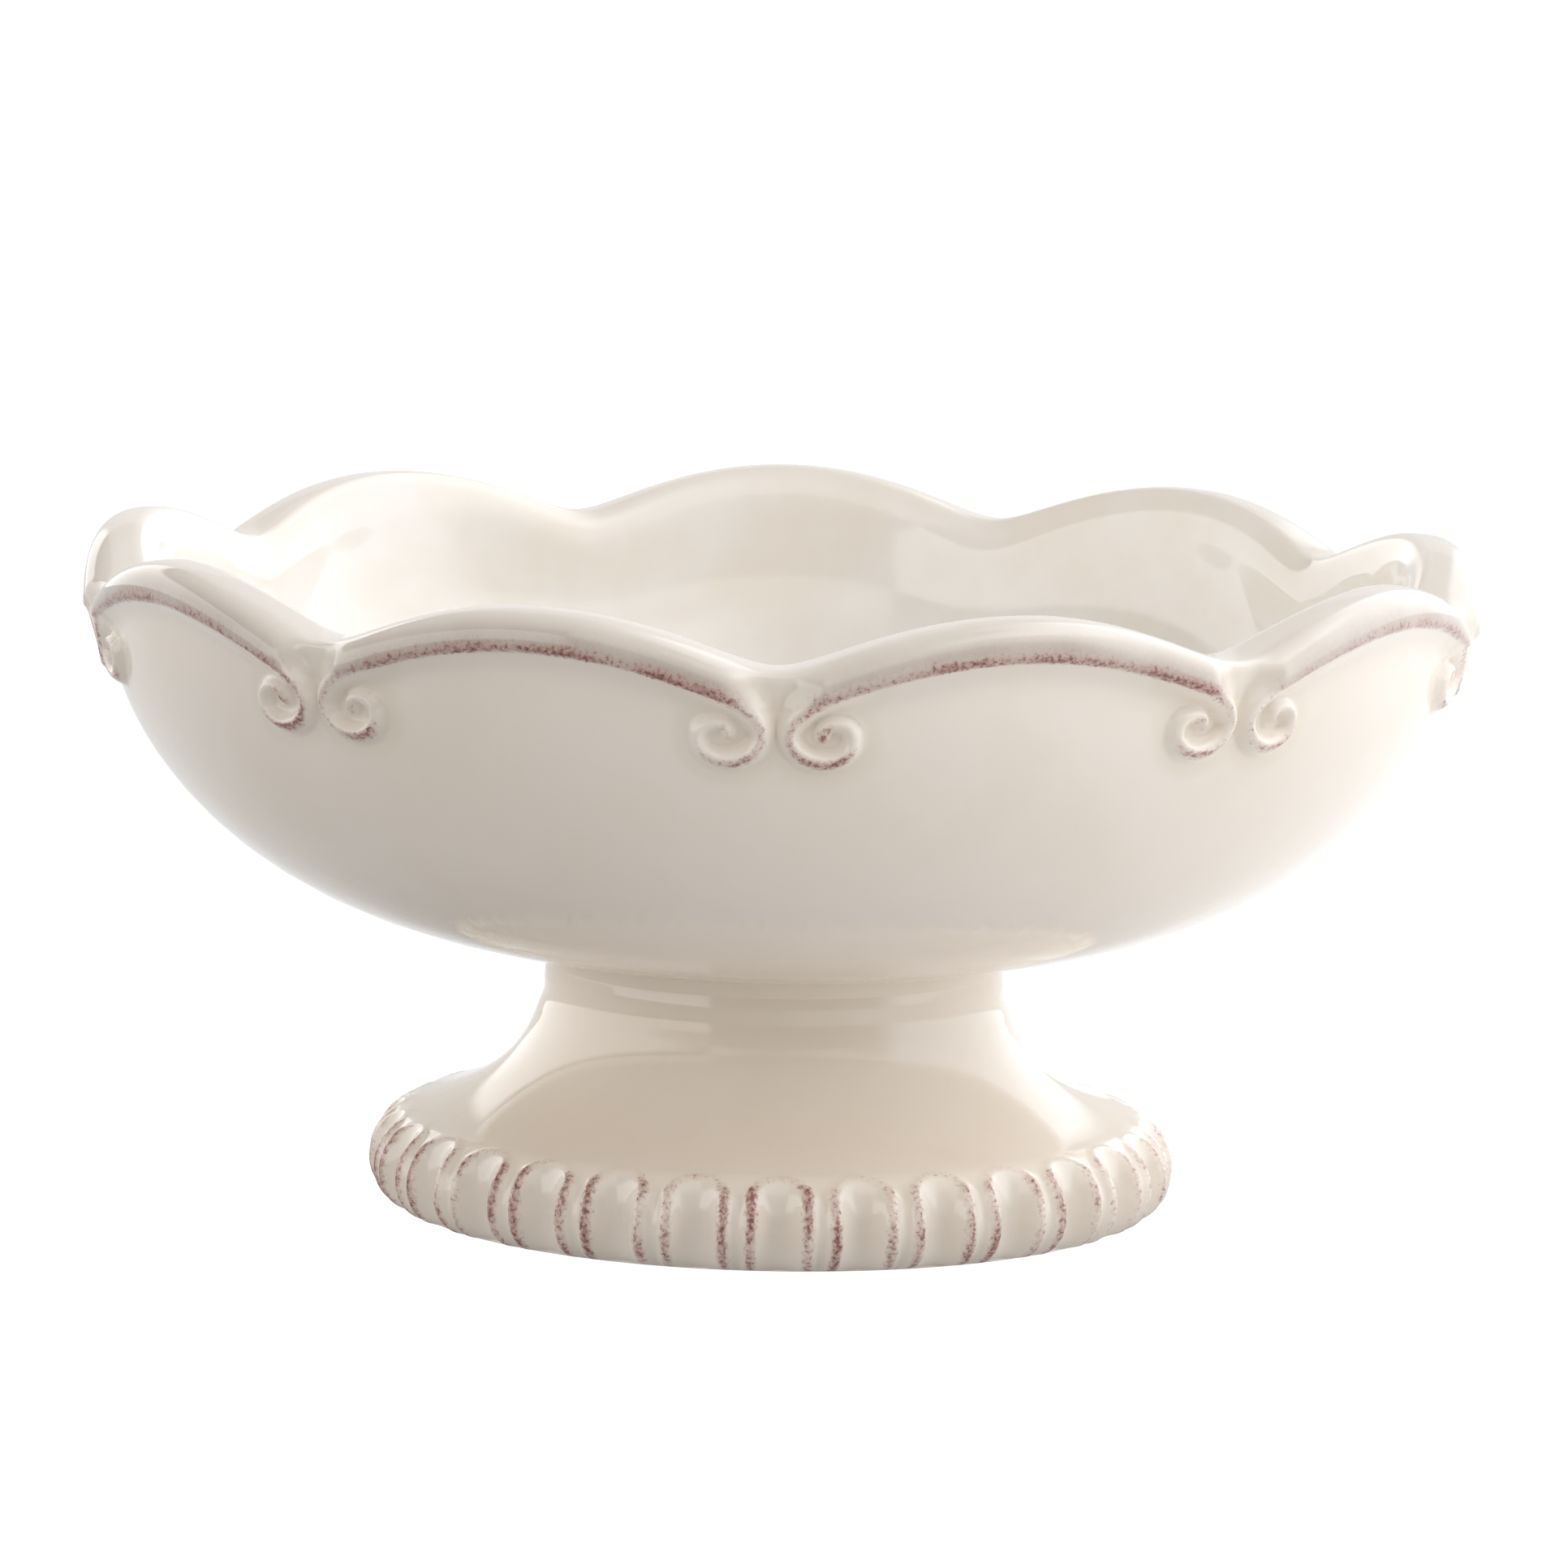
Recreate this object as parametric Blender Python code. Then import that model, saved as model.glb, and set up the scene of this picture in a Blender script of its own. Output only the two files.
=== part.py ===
# Pedestal dish in glazed ceramic: a bowl with a nine-lobed rim and C-scroll relief,
# luted with slip onto a hollow foot whose base is ringed with arched flutes.
# Metres, +Z up. The origin is the centre of the base, and a cusp of the rim faces -Y.

import math

import bmesh
import bpy
from mathutils import Vector
from mathutils.geometry import interpolate_bezier

MM = 0.001

# Bowl shell: two flat-bottomed superellipses (half width, depth), vertical above their brim
LOBES = 9
BRIM_HEIGHT = 66.8 * MM
OUTER_SHELL = (73.9 * MM, 39.3 * MM)
INNER_SHELL = (67.9 * MM, 33.0 * MM)
WIDTH_POWER = 3.0
DEPTH_POWER = 1.8

# Rim moulding: a convex band from the lip's crest down to a sharp arris
RIM_APEX_HEIGHT = 73.5 * MM
CUSP_DROP = 5.4 * MM
CUSP_ROUNDING = 0.07
CREST_RADIUS = 71.0 * MM
CUSP_PINCH = 2.0 * MM
ARRIS_RADIUS = 76.0 * MM
BAND_DEPTH = 3.9 * MM
CUSP_ARRIS_INSET = 0.9 * MM
CUSP_BAND_CUT = 2.1 * MM
CUSP_BAND_REACH = 2.6 * MM

# C-scroll beads: each leaves its arch, drops beside the cusp and curls into a volute
VOLUTE_CENTRE = (5.1 * MM, 7.4 * MM)
VOLUTE_START_RADIUS = 2.8 * MM
VOLUTE_TIGHTENING = 0.4 * MM
VOLUTE_STRETCH = 1.3
VOLUTE_SWEEP = math.radians(335)
VOLUTE_STEPS = 10
STEM_START = (8.6 * MM, 0.6 * MM)
STEM_LEAN = (4.2 * MM, 2.0 * MM)
STEM_DROP = 3.4 * MM
STEM_STEPS = 3
BEAD_HALF_WIDTH = 1.05 * MM
BEAD_SHOULDER = (0.72, 0.55)
BEAD_TAPER = 0.3
BEAD_STEM_HEIGHT = 1.6 * MM
BEAD_EYE_HEIGHT = 0.9 * MM
BEAD_ROOT = 0.7 * MM

# Joint between bowl and foot: seat, locating boss and slip layer
SEAT_RADIUS = 24.9 * MM
SEAT_SHARE = (1 - (SEAT_RADIUS / OUTER_SHELL[0]) ** WIDTH_POWER) ** (1 / DEPTH_POWER)
SEAT_HEIGHT = BRIM_HEIGHT - OUTER_SHELL[1] * SEAT_SHARE
BOSS_RADIUS = 18.4 * MM
BOSS_DEPTH = 2.0 * MM
JOINT_GAP = 0.3 * MM
SLIP_THICKNESS = 0.6 * MM
SLIP_BEAD = 0.5 * MM
COLLAR_BORE_RADIUS = 19.0 * MM
COLLAR_TOP = SEAT_HEIGHT - SLIP_THICKNESS - 2 * JOINT_GAP

# Foot outline as cubic curves (start, two handles, end), radius then height
ROLL_CURVE = ((40.3, 0.0), (45.3, 1.2), (45.0, 9.0), (38.6, 10.3))
SWEEP_CURVE = ((38.6, 10.3), (29.8, 13.0), (25.4, 17.5), (SEAT_RADIUS / MM, COLLAR_TOP / MM))
HOLLOW_COLLAR_CURVE = (
    (COLLAR_BORE_RADIUS / MM, COLLAR_TOP / MM), (COLLAR_BORE_RADIUS / MM, 15.0), (23.5, 11.8), (30.0, 9.0),
)
HOLLOW_BASE_CURVE = ((30.0, 9.0), (36.0, 7.0), (37.5, 4.0), (35.0, 0.0))

# Flutes: arched niches with a narrow groove between each pair of frames
FLUTES = 30
FLUTE_WIDEST_HEIGHT = 3.6 * MM
FLUTE_WIDEST_RADIUS = 43.75 * MM
FLUTE_FOOT_TUCK = 1.15 * MM
NICHE_HALF_WIDTH = 2.35 * MM
NICHE_DEPTH = 1.25 * MM
NICHE_SPRING_HEIGHT = 8.1 * MM
NICHE_ARCH_TURNS = tuple(math.radians(turn) for turn in (0, 30, 58, 84))
GROOVE_HALF_WIDTH = 0.75 * MM
GROOVE_DEPTH = 0.8 * MM
SPANDREL_HALF_WIDTH = 1.7 * MM
# Above and below the niche's crown in millimetres, and share of the spandrel's full width there
SPANDREL_SHAPE = ((-0.9, 0.8), (0.2, 1.0), (1.3, 0.3))
BELOW_BASE = 1.0 * MM

# Facet columns: shares of the way from cusp to apex, close together where the rim turns
RIM_SHARES = (0.0, 0.07, 0.18, 0.36, 0.56, 0.78, 1.0)
BOWL_SHARES = RIM_SHARES[::2]
FOOT_COLUMNS = 2 * FLUTES
HOLLOW_COLUMNS = FLUTES
NICHE_SIDES = 8
GROOVE_SIDES = 6
SHARP_ANGLE = math.radians(40)

# Facet rows of the bowl in millimetres: radii on the shells, then (inset, depth) below the crest.
# A band row gives its share of the way from crest to arris, in depth and in width.
OUTER_ROW_RADII = (36.0, 46.0, 54.0, 60.5, 65.5)
OUTER_HANGING_DEPTHS = (13.0, 8.5, 5.4)
BAND_ROWS = ((1.16, 0.84), (1.0, 1.0), (0.62, 0.88), (0.22, 0.5))
LIP_ROWS = ((0.0, 0.0), (1.7, 0.6), (2.8, 2.4))
INNER_HANGING_DEPTHS = ((6.0, 0.6), (13.0, 0.0))
INNER_ROW_RADII = (60.0, 52.0, 41.0, 28.0, 13.0)

# Finishes: base colour and roughness
GLAZE = ((0.83, 0.79, 0.71, 1.0), 0.12)
BARE_CLAY = ((0.74, 0.68, 0.58, 1.0), 0.6)


def on_axis_frame(angle, radius, height):
    """A point at this angle round from -Y towards +X."""
    return Vector((radius * math.sin(angle), -radius * math.cos(angle), height))


def even_angles(count):
    return [2 * math.pi * i / count for i in range(count)]


def lobe_angles(shares):
    """Column angles round the bowl: these shares of each half lobe, mirrored about its apex."""
    half = math.pi / LOBES
    way = list(shares) + [2 - share for share in reversed(shares[1:-1])]
    return [half * (2 * lobe + share) for lobe in range(LOBES) for share in way]


def ring(mesh, angles, place):
    """A closed ring of points, with place(angle) giving each one's radius and height."""
    return [mesh.verts.new(on_axis_frame(angle, *place(angle))) for angle in angles]


def join_rings(mesh, first, second):
    """Faces between two rings, of equal count or one twice as fine as the other."""
    coarse, fine = sorted((first, second), key=len)
    count = len(coarse)
    for i in range(count):
        j = (i + 1) % count
        if len(fine) == count:
            mesh.faces.new((coarse[i], coarse[j], fine[j], fine[i]))
            continue
        middle = fine[2 * i + 1]
        mesh.faces.new((coarse[i], middle, fine[2 * i]))
        mesh.faces.new((coarse[i], coarse[j], middle))
        mesh.faces.new((coarse[j], fine[2 * j], middle))


def join_to_pole(mesh, outline, height):
    pole = mesh.verts.new((0, 0, height))
    for i, point in enumerate(outline):
        mesh.faces.new((point, outline[(i + 1) % len(outline)], pole))


def loft(mesh, sections):
    """A closed tube through sections of equal count, with flat ends."""
    rows = [[mesh.verts.new(point) for point in section] for section in sections]
    for row, following in zip(rows, rows[1:]):
        for i in range(len(row)):
            j = (i + 1) % len(row)
            mesh.faces.new((row[i], row[j], following[j], following[i]))
    mesh.faces.new(rows[0])
    mesh.faces.new(rows[-1])


def curve_points(curve, steps):
    """(radius, height) pairs in metres along a cubic curve given in millimetres."""
    knots = [Vector((radius, height, 0)) * MM for radius, height in curve]
    return [(p.x, p.y) for p in interpolate_bezier(*knots, steps + 1)]


def material(name, finish):
    colour, roughness = finish
    made = bpy.data.materials.new(name)
    made.use_nodes = True
    shader = made.node_tree.nodes["Principled BSDF"]
    shader.inputs["Base Color"].default_value = colour
    shader.inputs["Roughness"].default_value = roughness
    shader.inputs["Metallic"].default_value = 0.0
    made.diffuse_color = colour
    return made


def finish_object(name, mesh, parent=None, surface=None):
    """Turns a bmesh into a smooth-shaded object, or into a hidden helper if it has no material."""
    bmesh.ops.recalc_face_normals(mesh, faces=mesh.faces)
    data = bpy.data.meshes.new(name)
    mesh.to_mesh(data)
    mesh.free()
    made = bpy.data.objects.new(name, data)
    bpy.context.scene.collection.objects.link(made)
    made.parent = parent
    if surface is None:
        made.hide_render = True
        made.display_type = "WIRE"
        return made
    data.materials.append(surface)
    data.shade_smooth()
    data.set_sharp_from_angle(angle=SHARP_ANGLE)
    return made


def combine(target, helper, operation):
    boolean = target.modifiers.new(helper.name, "BOOLEAN")
    boolean.operation = operation
    boolean.solver = "EXACT"
    boolean.object = helper


def from_cusp(angle):
    """Distance round the rim from the nearest cusp: 0 there, and 1 at a lobe's apex."""
    lobe = 2 * math.pi / LOBES
    return abs((angle + lobe / 2) % lobe - lobe / 2) / (lobe / 2)


def cusp_share(angle):
    """0 at a lobe's apex, rising as a parabola to nearly 1 at a cusp, which is slightly rounded."""
    soft = math.hypot(from_cusp(angle), CUSP_ROUNDING) / math.hypot(1, CUSP_ROUNDING)
    return (1 - soft) ** 2


def rim_height(angle):
    return RIM_APEX_HEIGHT - CUSP_DROP * cusp_share(angle)


def crest_radius(angle):
    """The crest leans in towards each cusp."""
    return CREST_RADIUS - CUSP_PINCH * cusp_share(angle)


def at_cusp(angle):
    """1 at a cusp, fading to 0 a few millimetres away."""
    distance = from_cusp(angle) * math.pi / LOBES * ARRIS_RADIUS
    return math.exp(-((distance / CUSP_BAND_REACH) ** 2))


def shell_radius(shell, height):
    width, depth = shell
    drop = max(0.0, BRIM_HEIGHT - height)
    return width * (1 - (drop / depth) ** DEPTH_POWER) ** (1 / WIDTH_POWER)


def shell_height(shell, radius):
    width, depth = shell
    return BRIM_HEIGHT - depth * (1 - (radius / width) ** WIDTH_POWER) ** (1 / DEPTH_POWER)


def shell_row(shell, radius):
    """A level ring on the shell."""
    return lambda angle: (radius, shell_height(shell, radius))


def hanging_row(shell, depth, pinch=0.0):
    """A ring on the shell at this depth below the scalloped rim, with this share of its pinch."""
    def place(angle):
        height = rim_height(angle) - depth
        return shell_radius(shell, height) - pinch * CUSP_PINCH * cusp_share(angle), height
    return place


def band_row(depth_share, width_share):
    """A ring on the rim's outer band, between the crest (0, 0) and the arris (1, 1)."""
    def place(angle):
        depth = BAND_DEPTH - CUSP_BAND_CUT * at_cusp(angle)
        width = ARRIS_RADIUS - CUSP_ARRIS_INSET * at_cusp(angle) - crest_radius(angle)
        return crest_radius(angle) + width_share * width, rim_height(angle) - depth_share * depth
    return place


def lip_row(inset, depth):
    """A ring on the rounded inner lip, inside the crest."""
    return lambda angle: (crest_radius(angle) - inset, rim_height(angle) - depth)


def bowl_shell():
    mesh = bmesh.new()
    bowl_angles = lobe_angles(BOWL_SHARES)
    rim_angles = lobe_angles(RIM_SHARES)
    lower_places = [
        lambda angle: (BOSS_RADIUS, SEAT_HEIGHT - BOSS_DEPTH),
        lambda angle: (BOSS_RADIUS, SEAT_HEIGHT),
        shell_row(OUTER_SHELL, SEAT_RADIUS),
    ]
    lower_places += [shell_row(OUTER_SHELL, radius * MM) for radius in OUTER_ROW_RADII]
    rim_places = [hanging_row(OUTER_SHELL, depth * MM) for depth in OUTER_HANGING_DEPTHS]
    rim_places += [band_row(*shares) for shares in BAND_ROWS]
    rim_places += [lip_row(inset * MM, depth * MM) for inset, depth in LIP_ROWS]
    rim_places += [hanging_row(INNER_SHELL, depth * MM, pinch) for depth, pinch in INNER_HANGING_DEPTHS]
    inner_places = [shell_row(INNER_SHELL, radius * MM) for radius in INNER_ROW_RADII]
    rings = [ring(mesh, bowl_angles, place) for place in lower_places]
    rings += [ring(mesh, rim_angles, place) for place in rim_places]
    rings += [ring(mesh, bowl_angles, place) for place in inner_places]
    for lower, upper in zip(rings, rings[1:]):
        join_rings(mesh, lower, upper)
    join_to_pole(mesh, rings[0], SEAT_HEIGHT - BOSS_DEPTH)
    join_to_pole(mesh, rings[-1], BRIM_HEIGHT - INNER_SHELL[1])
    return mesh


def scroll_path():
    """(distance from the cusp, depth below the cusp) along one bead, from arch to eye."""
    along, down = VOLUTE_CENTRE
    start = (along - VOLUTE_STRETCH * VOLUTE_START_RADIUS, down)
    knots = [STEM_START, STEM_LEAN, (start[0], start[1] - STEM_DROP), start]
    stem = interpolate_bezier(*[Vector((a, d, 0)) for a, d in knots], STEM_STEPS + 1)
    path = [(p.x, p.y) for p in stem]
    for i in range(1, VOLUTE_STEPS + 1):
        turn = VOLUTE_SWEEP * i / VOLUTE_STEPS
        radius = VOLUTE_START_RADIUS - VOLUTE_TIGHTENING * turn / (math.pi / 2)
        path.append((
            along - VOLUTE_STRETCH * radius * math.cos(turn),
            down + radius * math.sin(turn),
        ))
    return path


def on_wall(cusp_angle, side, along, down):
    height = rim_height(cusp_angle) - down
    angle = cusp_angle + side * along / OUTER_SHELL[0]
    return on_axis_frame(angle, shell_radius(OUTER_SHELL, height), height)


def wall_normal(point):
    width, depth = OUTER_SHELL
    outward = Vector((point.x, point.y, 0))
    drop = max(0.0, BRIM_HEIGHT - point.z)
    steepness = WIDTH_POWER * outward.length ** (WIDTH_POWER - 1) / width**WIDTH_POWER
    fall = DEPTH_POWER * drop ** (DEPTH_POWER - 1) / depth**DEPTH_POWER
    return (outward.normalized() * steepness - Vector((0, 0, fall))).normalized()


def scroll_beads():
    """Two beads at every cusp, one to each side, rooted in the wall."""
    mesh = bmesh.new()
    path = scroll_path()
    shoulder, shoulder_rise = BEAD_SHOULDER
    for cusp in range(LOBES):
        for side in (-1, 1):
            cusp_angle = 2 * math.pi * cusp / LOBES
            points = [on_wall(cusp_angle, side, along, down) for along, down in path]
            sections = []
            for i, point in enumerate(points):
                share = i / (len(points) - 1)
                half_width = BEAD_HALF_WIDTH * (1 - BEAD_TAPER * share)
                height = BEAD_STEM_HEIGHT + (BEAD_EYE_HEIGHT - BEAD_STEM_HEIGHT) * share
                normal = wall_normal(point)
                ahead = points[min(i + 1, len(points) - 1)] - points[max(i - 1, 0)]
                across = normal.cross(ahead).normalized()
                outline = (
                    (-1.0, -BEAD_ROOT),
                    (-shoulder, shoulder_rise * height),
                    (0.0, height),
                    (shoulder, shoulder_rise * height),
                    (1.0, -BEAD_ROOT),
                )
                sections.append([
                    point + across * (half_width * x) + normal * y for x, y in outline
                ])
            loft(mesh, sections)
    return mesh


def foot_shell():
    mesh = bmesh.new()
    outside = curve_points(ROLL_CURVE, 6) + curve_points(SWEEP_CURVE, 5)[1:]
    hollow = curve_points(HOLLOW_COLLAR_CURVE, 5) + curve_points(HOLLOW_BASE_CURVE, 4)[1:]
    rings = [ring(mesh, even_angles(FOOT_COLUMNS), lambda angle, p=p: p) for p in outside]
    rings += [ring(mesh, even_angles(HOLLOW_COLUMNS), lambda angle, p=p: p) for p in hollow]
    for first, second in zip(rings, rings[1:] + rings[:1]):
        join_rings(mesh, first, second)
    return mesh


def flute_axis(height):
    """Radius of the flutes' centre line, tucked in towards the base."""
    tuck = max(0.0, (FLUTE_WIDEST_HEIGHT - height) / FLUTE_WIDEST_HEIGHT)
    return FLUTE_WIDEST_RADIUS - FLUTE_FOOT_TUCK * tuck**2


def flute_stations():
    """(radius, height) along the flutes' centre line, from under the base up over the roll."""
    heights = [-BELOW_BASE, 0.5 * MM, 2.0 * MM, FLUTE_WIDEST_HEIGHT]
    low = [(flute_axis(height), height) for height in heights]
    roll = curve_points(ROLL_CURVE, 40)
    return low + [p for p in roll if p[1] > FLUTE_WIDEST_HEIGHT] + curve_points(SWEEP_CURVE, 40)[1:]


def station_at(stations, length):
    """Point and upward direction at this length along the stations."""
    for (r0, z0), (r1, z1) in zip(stations, stations[1:]):
        step = math.hypot(r1 - r0, z1 - z0)
        if length <= step:
            share = length / step
            return r0 + (r1 - r0) * share, z0 + (z1 - z0) * share, (r1 - r0) / step, (z1 - z0) / step
        length -= step
    raise ValueError("the flute runs past its stations")


def length_to_height(stations, height):
    total = 0.0
    for (r0, z0), (r1, z1) in zip(stations, stations[1:]):
        if z1 >= height:
            return total
        total += math.hypot(r1 - r0, z1 - z0)
    return total


def cutter_section(angle, station, half_width, depth, sides):
    radius, height, slope_r, slope_z = station
    centre = on_axis_frame(angle, radius, height)
    outward = on_axis_frame(angle, slope_z, -slope_r)
    across = on_axis_frame(angle + math.pi / 2, 1.0, 0.0)
    return [
        centre + across * (half_width * math.cos(turn)) + outward * (depth * math.sin(turn))
        for turn in even_angles(sides)
    ]


def flute_cutters():
    """A round-topped niche and, half a pitch on, a groove that widens into a spandrel."""
    mesh = bmesh.new()
    stations = flute_stations()
    spring = length_to_height(stations, NICHE_SPRING_HEIGHT)
    niche = [(0.0, 1.0), (spring / 2, 1.0)]
    niche += [(spring + NICHE_HALF_WIDTH * math.sin(turn), math.cos(turn)) for turn in NICHE_ARCH_TURNS]
    spandrel = SPANDREL_HALF_WIDTH / GROOVE_HALF_WIDTH
    crown = spring + NICHE_HALF_WIDTH
    groove = [(0.0, 1.0), (spring / 2, 1.0), (spring, 1.0)]
    groove += [(crown + offset * MM, share * spandrel) for offset, share in SPANDREL_SHAPE]
    pitch = 2 * math.pi / FLUTES
    for i in range(FLUTES):
        loft(mesh, [
            cutter_section(
                i * pitch, station_at(stations, length),
                NICHE_HALF_WIDTH * share, NICHE_DEPTH * math.sqrt(share), NICHE_SIDES,
            )
            for length, share in niche
        ])
        loft(mesh, [
            cutter_section(
                (i + 0.5) * pitch, station_at(stations, length),
                GROOVE_HALF_WIDTH * share, GROOVE_DEPTH, GROOVE_SIDES,
            )
            for length, share in groove
        ])
    return mesh


def slip_ring():
    """The slip layer, with the bead that squeezes out round the seam."""
    mesh = bmesh.new()
    top = SEAT_HEIGHT - JOINT_GAP
    bottom = top - SLIP_THICKNESS
    middle = (top + bottom) / 2
    inside = COLLAR_BORE_RADIUS + SLIP_BEAD
    outline = [
        (inside, top),
        (SEAT_RADIUS + 0.4 * SLIP_BEAD, top),
        (SEAT_RADIUS + SLIP_BEAD, middle),
        (SEAT_RADIUS + 0.4 * SLIP_BEAD, bottom),
        (inside, bottom),
    ]
    rings = [ring(mesh, even_angles(FOOT_COLUMNS), lambda angle, p=p: p) for p in outline]
    for first, second in zip(rings, rings[1:] + rings[:1]):
        join_rings(mesh, first, second)
    return mesh


def build():
    for old in list(bpy.data.objects):
        bpy.data.objects.remove(old)
    dish = bpy.data.objects.new("dish", None)
    bpy.context.scene.collection.objects.link(dish)
    bowl = finish_object("bowl", bowl_shell(), dish, material("ivory_glaze_bowl", GLAZE))
    combine(bowl, finish_object("scroll_beads", scroll_beads()), "UNION")
    foot = finish_object("pedestal_foot", foot_shell(), dish, material("ivory_glaze_foot", GLAZE))
    combine(foot, finish_object("flute_cutters", flute_cutters()), "DIFFERENCE")
    finish_object("luting_slip_ring", slip_ring(), dish, material("luting_slip", BARE_CLAY))


build()
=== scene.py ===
import math

import bpy
from mathutils import Matrix, Vector
from mathutils.geometry import interpolate_bezier


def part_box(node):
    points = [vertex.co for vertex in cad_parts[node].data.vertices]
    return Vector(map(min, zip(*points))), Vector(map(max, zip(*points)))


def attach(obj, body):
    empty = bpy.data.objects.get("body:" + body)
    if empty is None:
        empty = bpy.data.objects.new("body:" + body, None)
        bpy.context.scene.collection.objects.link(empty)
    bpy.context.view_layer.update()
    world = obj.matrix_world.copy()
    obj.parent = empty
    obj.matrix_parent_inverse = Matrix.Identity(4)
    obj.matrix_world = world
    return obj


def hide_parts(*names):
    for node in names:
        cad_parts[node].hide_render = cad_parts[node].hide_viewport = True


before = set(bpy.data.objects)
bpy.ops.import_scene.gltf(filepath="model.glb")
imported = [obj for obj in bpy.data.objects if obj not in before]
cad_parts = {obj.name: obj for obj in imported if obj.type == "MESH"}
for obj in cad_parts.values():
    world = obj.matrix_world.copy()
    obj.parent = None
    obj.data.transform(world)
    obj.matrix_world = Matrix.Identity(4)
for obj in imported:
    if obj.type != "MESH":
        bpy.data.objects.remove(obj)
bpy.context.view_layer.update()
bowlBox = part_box("bowl")
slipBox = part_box("luting_slip_ring")
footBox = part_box("pedestal_foot")
mm = 0.001
print("frame loaded:", ", ".join(sorted(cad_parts)))


# Node helpers

class Wire:
    # one value in a node tree: sums and products of wires add math nodes
    def __init__(self, tree, socket):
        self.tree = tree
        self.socket = socket

    def calc(self, operation, *others):
        node = addNode(self.tree, "ShaderNodeMath", operation=operation)
        for socket, value in zip(node.inputs, (self, *others)):
            feed(self.tree, socket, value)
        return Wire(self.tree, node.outputs[0])

    def __add__(self, other):
        return self.calc("ADD", other)

    def __sub__(self, other):
        return self.calc("SUBTRACT", other)

    def __mul__(self, other):
        return self.calc("MULTIPLY", other)

    def __truediv__(self, other):
        return self.calc("DIVIDE", other)

    def __pow__(self, power):
        return self.calc("POWER", power)

    def __neg__(self):
        return self.calc("MULTIPLY", -1.0)

    def __rsub__(self, other):
        return -self + other

    __radd__ = __add__

    def squared(self):
        return self * self

    def length(self, other):
        return (self.squared() + other * other).calc("SQRT")

    def positive(self):
        return self.calc("MAXIMUM", 0.0)

    def ramp(self, low, high, atLow=0.0, atHigh=1.0):
        # eased from atLow to atHigh while this value goes from low to high
        node = addNode(self.tree, "ShaderNodeMapRange", interpolation_type="SMOOTHSTEP")
        for socket, value in zip(node.inputs, (self, low, high, atLow, atHigh)):
            feed(self.tree, socket, value)
        return Wire(self.tree, node.outputs[0])

    def bump(self, halfWidth):
        # 1 at zero, easing to 0 at halfWidth either side
        return (1.0 - (self / halfWidth).squared()).positive().squared()


def feed(tree, socket, value):
    if isinstance(value, Wire):
        value = value.socket
    if isinstance(value, bpy.types.NodeSocket):
        tree.links.new(value, socket)
    else:
        socket.default_value = value


def addNode(tree, kind, values=None, **settings):
    node = tree.nodes.new(kind)
    for key, value in settings.items():
        setattr(node, key, value)
    for key, value in (values or {}).items():
        feed(tree, node.inputs[key], value)
    return node


def separated(tree, vector):
    parts = addNode(tree, "ShaderNodeSeparateXYZ", {"Vector": vector})
    return [Wire(tree, socket) for socket in parts.outputs]


def combined(tree, x=0.0, y=0.0, z=0.0):
    return addNode(tree, "ShaderNodeCombineXYZ", {"X": x, "Y": y, "Z": z}).outputs[0]


def positionField(tree):
    return addNode(tree, "GeometryNodeInputPosition").outputs[0]


def storedField(tree, name, kind="FLOAT"):
    node = addNode(tree, "GeometryNodeInputNamedAttribute", {"Name": name}, data_type=kind)
    return node.outputs[0]


def newTree(name, kind, inputs, outputs):
    tree = bpy.data.node_groups.new(name, kind)
    for label, socketKind in inputs.items():
        tree.interface.new_socket(label, in_out="INPUT", socket_type=socketKind)
    for label, socketKind in outputs.items():
        tree.interface.new_socket(label, in_out="OUTPUT", socket_type=socketKind)
    return tree, tree.nodes.new("NodeGroupInput"), tree.nodes.new("NodeGroupOutput")


def sweepTree(name, sizes):
    # a tree whose named inputs are the section guides, the sizes and the glaze
    inputs = {"guides": "NodeSocketGeometry"}
    for label, value in sizes.items():
        inputs[label] = "NodeSocketInt" if isinstance(value, int) else "NodeSocketFloat"
    inputs["glaze"] = "NodeSocketMaterial"
    tree, entry, leave = newTree(name, "GeometryNodeTree", inputs, {"piece": "NodeSocketGeometry"})
    return tree, entry, leave, lambda label: Wire(tree, entry.outputs[label])


# Section guides: the outlines that the node trees sweep round the axis

def throughPoints(knots, steps):
    # smooth curve through the knots, without its last point
    points = []
    ends = [knots[0] * 2 - knots[1], *knots, knots[-1] * 2 - knots[-2]]
    for before, start, end, after in zip(ends, ends[1:], ends[2:], ends[3:]):
        handles = start + (end - before) / 6, end - (after - start) / 6
        points += interpolate_bezier(start, *handles, end, steps + 1)[:-1]
    return points


def place(radius, height):
    return Vector((radius, 0, height))


def guideMesh(name, sections, measure):
    # one vertex a row and section, each with its outward direction and one measured value
    mesh = bpy.data.meshes.new(name)
    points, outward, measured = [], [], []
    for section in sections:
        travel = 0.0
        for i, point in enumerate(section):
            ahead = section[min(i + 1, len(section) - 1)] - section[max(i - 1, 0)]
            travel += (point - section[max(i - 1, 0)]).length
            points.append(point)
            outward.extend(place(ahead.z, -ahead.x).normalized())
            measured.append(measure(point, travel))
    mesh.from_pydata(points, [], [])
    mesh.attributes.new("outward", "FLOAT_VECTOR", "POINT").data.foreach_set("vector", outward)
    mesh.attributes.new("measured", "FLOAT", "POINT").data.foreach_set("value", measured)
    return mesh


def rise(point, travel):
    return travel


# Sweep: every tree makes one sector as a grid and turns copies of it round the axis

surface = {
    "mergeDistance": 0.004 * mm,
    "sway": 0.16 * mm,  # a hand-finished surface is never quite true
    "swayScale": 38.0,
    "swayStart": (0.2 * mm, 3.0 * mm),  # height over the table
}


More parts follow.
